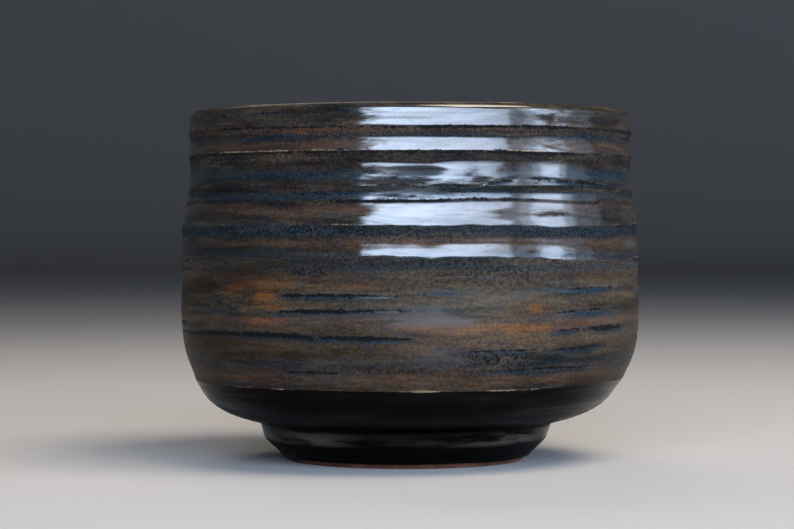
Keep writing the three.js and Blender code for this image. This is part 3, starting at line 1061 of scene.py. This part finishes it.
liner = {
    "rows": 210,
    "crownRows": 16,
    "backStep": 6,            # its back is curved more, so it keeps more rows
    # radius and height of the inside from the crown down to the middle of the floor
    "form": [(lipMiddle - lipHalf, lipBase), (40.05, 61.0), (40.5, 53.0), (41.7, 45.0), (41.9, 38.0),
             (41.6, 30.5), (40.7, 25.8), (38.2, 22.0), (34.0, 19.1), (28.0, 16.75), (20.0, 15.1),
             (10.0, 14.17), (5.0, 13.97), (2.0, 13.91), (0.0, 13.9)],
    "spiral": 0.07,           # depth of the finger spiral
    "spiralPitch": 7.0,
    "spiralFrom": (5, 13),    # lengths from the lip, and from the middle of the floor, over which it grows
    "spiralTo": (3, 17),
    "uneven": [(0.04, 31, 20, 7, 6.0)],
    "well": (24, 15),         # heights between which the glaze pools in the well
    "spiralPool": 0.35,       # share that it pools along the spiral
}


def linerSkin():
    # radius and height of the coat's face: the inner half of the crown, then the inside with a finger spiral,
    # a wave along the length that turns once round the cup for each pitch and dies away at the lip and the
    # middle
    crown = crownArc(np.pi / 2, np.pi, liner["crownRows"])
    path = np.concatenate([crown[:-1], smoothThrough(liner["form"], liner["rows"])])
    level = path[:, 1:]
    length = lengthAlong(path)[:, None]
    outward, upward = outwardOf(path)
    ends = eased(length, *liner["spiralFrom"]) * eased(length[-1] - length, *liner["spiralTo"])
    wave = np.cos(2 * np.pi * length / liner["spiralPitch"] - turn)
    relief = ends * (liner["spiral"] * wave + unevenness(length, liner["uneven"]))
    pool = eased(level, *liner["well"]) + liner["spiralPool"] * ends * smoothStep(-wave)
    # the pale break along the lip, partly a painted highlight
    glint = lineField(level - lipBase, lipRise, lipGlint)
    masks = {"pool": np.clip(pool, 0, 1), "glint": np.clip(glint, 0, 1)}
    radius = np.maximum(path[:, :1] + outward * relief, 0)
    return path, radius, level + upward * relief - lipDrop(level), masks, cup["glaze"]


linerColor = {
    "mottle": {"Size": 1.0, "Stretch": 4.0},
    "tone": {"Streak": 0.6, "Speckle": 0.4},
    "tones": [(0.0, rgb(0.0157, 0.0126, 0.0117)), (0.5, rgb(0.047, 0.0336, 0.027)),
              (1.0, rgb(0.118, 0.0756, 0.0576))],
    "pool": rgb(0.0188, 0.0269, 0.0432),
    "poolShare": 0.85,
    "rough": (0.2, 0.4),
    "lines": {"Pitch": 900.0, "Lines": 0.4, "Peel": 1.0, "Grit": 0.1},
    "bump": (0.4, 0.0002),
    "shader": {"IOR": 1.55, "Coat Weight": 1.0, "Coat IOR": 1.5, "Coat Roughness": 0.2},
}


def linerMaterial():
    # dark brown, going blue-black where it pooled in the well and along the spiral
    material, tree, sockets = newMaterial("linerGlaze", linerColor["shader"])
    mottle = useGroup(tree, runMottle, **linerColor["mottle"])
    color = ramp(tree, weighted(tree, mottle, linerColor["tone"]), linerColor["tones"])
    color = blendColor(tree, masked(tree, "pool", linerColor["poolShare"]), color, linerColor["pool"])
    broken = useGroup(tree, brokenEdge, Color=color, Glint=attribute(tree, "glint"))
    tree.links.new(broken["Color"], sockets["Base Color"])
    tree.links.new(roughFrom(tree, mottle["Speckle"], *linerColor["rough"]), sockets["Roughness"])
    turnedSkin(tree, sockets, linerColor)
    return material


linerCoat = coatOf(*linerSkin(), liner["backStep"], poles=True)
linerPoints, linerMasks, clayLinerRadius, clayLinerHeight = linerCoat
linerMesh = putMesh("darkLiner", linerPoints, linerMasks, poles=True)
putPiece("liner_glaze", linerMesh, linerMaterial())

# Clay: the thrown body under its coats and the bare foot ring

clayFoot = {
    "baseRadius": 23.6,
    "baseRound": 0.3,
    "bareEdge": (24.15, 0.55),  # where the coat's bead starts
    "wellRadius": 18.2,
    "wellRound": 0.5,
    "wellTaper": 1.2,
    "wellStart": 3,             # height on the side of the well at which the section starts
    "wellStep": (0.5, 4.5),     # how far in the side of the well is at a height between
    "rows": 90,
    "sideStep": 3,              # one row for so many of the coat's
}
clayBody = {
    "seatRadii": (0, 6, 12, 18, 24),
    "steps": (3, 2, 3),         # one row for so many of the foot's coat, the wall's and the liner's
}
clayColor = {
    "mottle": {"Size": 1.2, "Stretch": 2.0},
    "tone": {"Streak": 0.55, "Speckle": 0.45},
    "tones": [(0.0, rgb(0.0785, 0.027, 0.0162)), (0.5, rgb(0.173, 0.062, 0.036)),
              (1.0, rgb(0.283, 0.118, 0.068))],
    "lines": {"Pitch": 1500.0, "Lines": 1.0, "Peel": 1.0, "Grit": 1.5},
    "bump": (0.6, 0.0001),
    "shader": {"Roughness": 0.8, "Specular IOR Level": 0.3},
}


def clayMaterial():
    # red-brown stoneware with fine grog and turning lines
    material, tree, sockets = newMaterial("bareClay", clayColor["shader"])
    mottle = useGroup(tree, runMottle, **clayColor["mottle"])
    tone = weighted(tree, mottle, clayColor["tone"])
    tree.links.new(ramp(tree, tone, clayColor["tones"]), sockets["Base Color"])
    turnedSkin(tree, sockets, clayColor)
    return material


def carriedRound(section):
    # a section of radius and height that is the same at every angle
    section = np.array(section, float)
    return np.broadcast_to(section[:, None], (len(section), cup["columns"], 2))


def footRingPoints(seatRow):
    # a closed section carried round: the flat standing ring, the bare edge, the side under the coat up to
    # the seat, the flat seat, and the well back down
    seat, well = cup["seat"], clayFoot["wellRadius"]
    side = np.stack([clayFootRadius[:seatRow], np.minimum(clayFootHeight[:seatRow], seat)], -1)
    under = turnedPath([
        (well, clayFoot["wellStart"], 0),
        (well, 0, clayFoot["wellRound"]),
        (clayFoot["baseRadius"], 0, clayFoot["baseRound"]),
        (*clayFoot["bareEdge"], 0),
    ], clayFoot["rows"])
    stepIn, stepHeight = clayFoot["wellStep"]
    topRadius = float(side[-1, :, 0].mean())
    over = [(topRadius, seat), (well - clayFoot["wellTaper"], seat), (well - stepIn, stepHeight)]
    section = np.concatenate([carriedRound(under), side[::clayFoot["sideStep"]], carriedRound(over)])
    return settled(section[..., 0], section[..., 1])


def bodyPoints(seatRow):
    # a closed section from the middle of the underside out along the seat, up behind the coats, over the lip
    # and down the inside to the middle of the floor
    seat = carriedRound([(radius, cup["seat"]) for radius in clayBody["seatRadii"]])
    footStep, wallStep, linerStep = clayBody["steps"]
    skins = [
        (clayFootRadius[seatRow:-1:footStep], clayFootHeight[seatRow:-1:footStep]),
        (clayWallRadius[:-1:wallStep], clayWallHeight[:-1:wallStep]),
        (clayLinerRadius[::linerStep], clayLinerHeight[::linerStep]),
    ]
    section = np.concatenate([seat] + [np.stack(skin, -1) for skin in skins])
    section[-1, :, 0] = 0
    return settled(section[..., 0], section[..., 1])


clay = clayMaterial()
seatRow = np.argmax(clayFootHeight.mean(1) > cup["seat"])  # the first row of the coat's back above the seat
putPiece("foot_ring", putMesh("bareFoot", footRingPoints(seatRow), {}), clay)
putPiece("thrown_body", putMesh("thrownClay", bodyPoints(seatRow), {}, poles=True), clay)

# Stage: a pale round sweep, whose floor turns up into a wall, and soft lights

stage = {
    "floorRings": (0, 300, 600),
    "floorRadius": 2600,      # the floor is level this far out
    "bend": 800,              # radius of the turn into the wall
    "bendSteps": 25,
    "wallHeight": 1700,
    "sides": 96,
    "color": rgb(0.47, 0.45, 0.43),
    "roughness": 0.9,
    "world": rgb(0.03, 0.03, 0.03),
    "aimHeight": 36,          # the lights face this height on the axis
    "key": {"shape": "RECTANGLE", "bearing": 26.7, "elevation": 20.75, "distance": 1195, "wide": 1825,
            "tall": 550, "yaw": -35.7, "spread": 141, "watts": 12.4, "color": (0.79, 0.98, 1.29)},
    "fill": {"shape": "RECTANGLE", "bearing": 55, "elevation": 62, "distance": 1200, "wide": 800,
             "tall": 600, "yaw": 0, "spread": 80, "watts": 2.4, "color": (1.16, 1.0, 0.8)},
    "back": {"shape": "RECTANGLE", "bearing": 198, "elevation": 48, "distance": 1200, "wide": 900,
             "tall": 500, "yaw": 0, "spread": 60, "watts": 0.5, "color": (1.06, 1.0, 0.93)},
    # the side light is soft at its edge, being sheets of growing size behind one another: bearing, distance,
    # width, height, watts
    "side": {"shape": "ELLIPSE", "elevation": 20, "yaw": 0, "spread": 110, "color": (0.8, 0.98, 1.27)},
    "sideSheets": [(74, 1100, 360, 520, 0.42), (74, 1120, 620, 640, 0.41), (70, 1140, 900, 720, 0.33),
                   (80, 1160, 1370, 800, 0.45)],
}


def softLight(name, lamp):
    # a broad light at a bearing and an elevation, which faces the cup apart from its yaw
    data = bpy.data.lights.new(name, "AREA")
    data.shape = lamp["shape"]
    data.size = lamp["wide"] * mm
    data.size_y = lamp["tall"] * mm
    data.energy = lamp["watts"]
    data.color = lamp["color"]
    data.spread = math.radians(lamp["spread"])
    light = bpy.data.objects.new(name, data)
    bpy.context.scene.collection.objects.link(light)
    side, up = math.radians(lamp["bearing"]), math.radians(lamp["elevation"])
    toward = np.array([math.sin(side) * math.cos(up), -math.cos(side) * math.cos(up), math.sin(up)])
    light.location = (np.array([0, 0, stage["aimHeight"]]) + toward * lamp["distance"]) * mm
    light.rotation_euler = (math.pi / 2 - up, 0, side + math.radians(lamp["yaw"]))
    light.visible_camera = False


def studioWorld():
    # an even dim grey all round
    world = bpy.data.worlds.new("studio")
    world.use_nodes = True
    world.node_tree.nodes["Background"].inputs["Color"].default_value = stage["world"]
    bpy.context.scene.world = world


def pourFloor():
    # a profile carried round: level out to the floor's radius, a quarter circle up, then an upright wall
    rise = np.linspace(0, np.pi / 2, stage["bendSteps"])
    reach = stage["floorRadius"] + stage["bend"]
    out = np.concatenate([stage["floorRings"], stage["floorRadius"] + stage["bend"] * np.sin(rise), [reach]])
    level = np.zeros(len(stage["floorRings"]))
    up = np.concatenate([level, stage["bend"] * (1 - np.cos(rise)), [stage["wallHeight"]]])
    around = np.linspace(0, 2 * np.pi, stage["sides"], endpoint=False)
    points = np.stack(np.broadcast_arrays(
        out[:, None] * np.cos(around), out[:, None] * np.sin(around), up[:, None]), -1) * mm
    index = np.arange(points.size // 3).reshape(points.shape[:2])
    low, high = index[:-1], index[1:]
    quads = np.stack([low, high, np.roll(high, -1, 1), np.roll(low, -1, 1)], -1).reshape(-1, 4)
    mesh = bpy.data.meshes.new("floor")
    mesh.from_pydata(points.reshape(-1, 3).tolist(), [], quads.tolist())
    mesh.shade_smooth()
    floor = bpy.data.objects.new("floor", mesh)
    bpy.context.scene.collection.objects.link(floor)
    settings = {"Base Color": stage["color"], "Roughness": stage["roughness"]}
    mesh.materials.append(newMaterial("paleFloor", settings)[0])


pourFloor()
for name in ("key", "fill", "back"):
    softLight(name, stage[name])
for number, sheet in enumerate(stage["sideSheets"]):
    values = dict(zip(("bearing", "distance", "wide", "tall", "watts"), sheet))
    softLight(f"side{number}", {**stage["side"], **values})
studioWorld()
print("stage and lights ready")

# Camera: level with the upper wall, straight in front, with a long lens

view = {
    "distance": 517,
    "height": 46.8,
    "aimAcross": -2.66,
    "aimHeight": 39.7,
    "lens": 114.5,
    "sensor": 36,
    "farthest": 100,          # metres that it sees
}
cameraData = bpy.data.cameras.new("camera")
cameraData.lens = view["lens"]
cameraData.sensor_width = view["sensor"]
cameraData.clip_end = view["farthest"]
camera = bpy.data.objects.new("camera", cameraData)
bpy.context.scene.collection.objects.link(camera)
camera.location = (0, -view["distance"] * mm, view["height"] * mm)
tilt = math.atan2(view["aimHeight"] - view["height"], view["distance"])
swing = math.atan2(-view["aimAcross"], view["distance"])
camera.rotation_euler = (math.pi / 2 + tilt, 0, swing)
bpy.context.scene.camera = camera
bpy.context.scene.view_settings.view_transform = "Standard"
print("camera ready")
